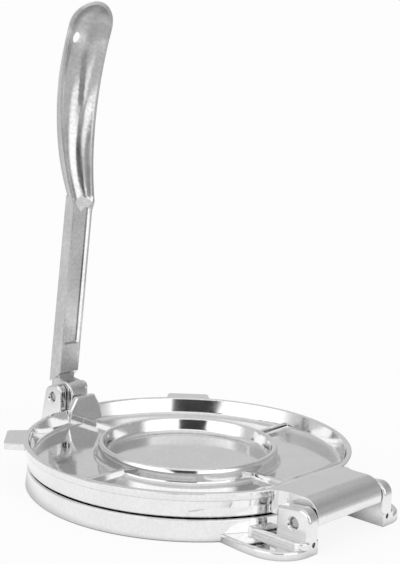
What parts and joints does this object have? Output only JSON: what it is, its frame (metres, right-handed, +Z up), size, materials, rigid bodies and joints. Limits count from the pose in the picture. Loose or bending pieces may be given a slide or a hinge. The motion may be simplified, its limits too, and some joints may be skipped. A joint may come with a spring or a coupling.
{
  "type": "tortilla press",
  "caption": "Cast hand press: round ribbed lid hinged on a footed base plate, and a tall lever with a bowed scoop grip that swings over and bears on the lid.",
  "frame": {"origin": "on the plates' common axis, at the table", "axes": "+Z up; -Y towards the lever, +Y towards the lid's hinge; the press is symmetric about X = 0"},
  "size_m": [0.169, 0.2128, 0.2465],
  "materials": {
    "base_casting": "polished cast",
    "lid_casting": "polished cast",
    "lever_casting": "satin cast",
    "pin_steel": "plain turned steel"
  },
  "bodies": {
    "base": {"base_plate": "base_casting", "lever_pin": "pin_steel", "hinge_pin_right": "pin_steel", "hinge_pin_left": "pin_steel"},
    "lid": {"top_plate": "lid_casting"},
    "lever": {"lever": "lever_casting"}
  },
  "joints": [
    {"name": "plate_hinge", "type": "hinge", "parent": "base", "child": "lid", "pos_m": [0, 0.0968, 0.0134], "axis": [-1, 0, 0], "range_deg": [0, 175]},
    {"name": "lever_pivot", "type": "hinge", "parent": "base", "child": "lever", "pos_m": [0, -0.0961, 0.0283], "axis": [-1, 0, 0], "range_deg": [-85, 70]}
  ]
}
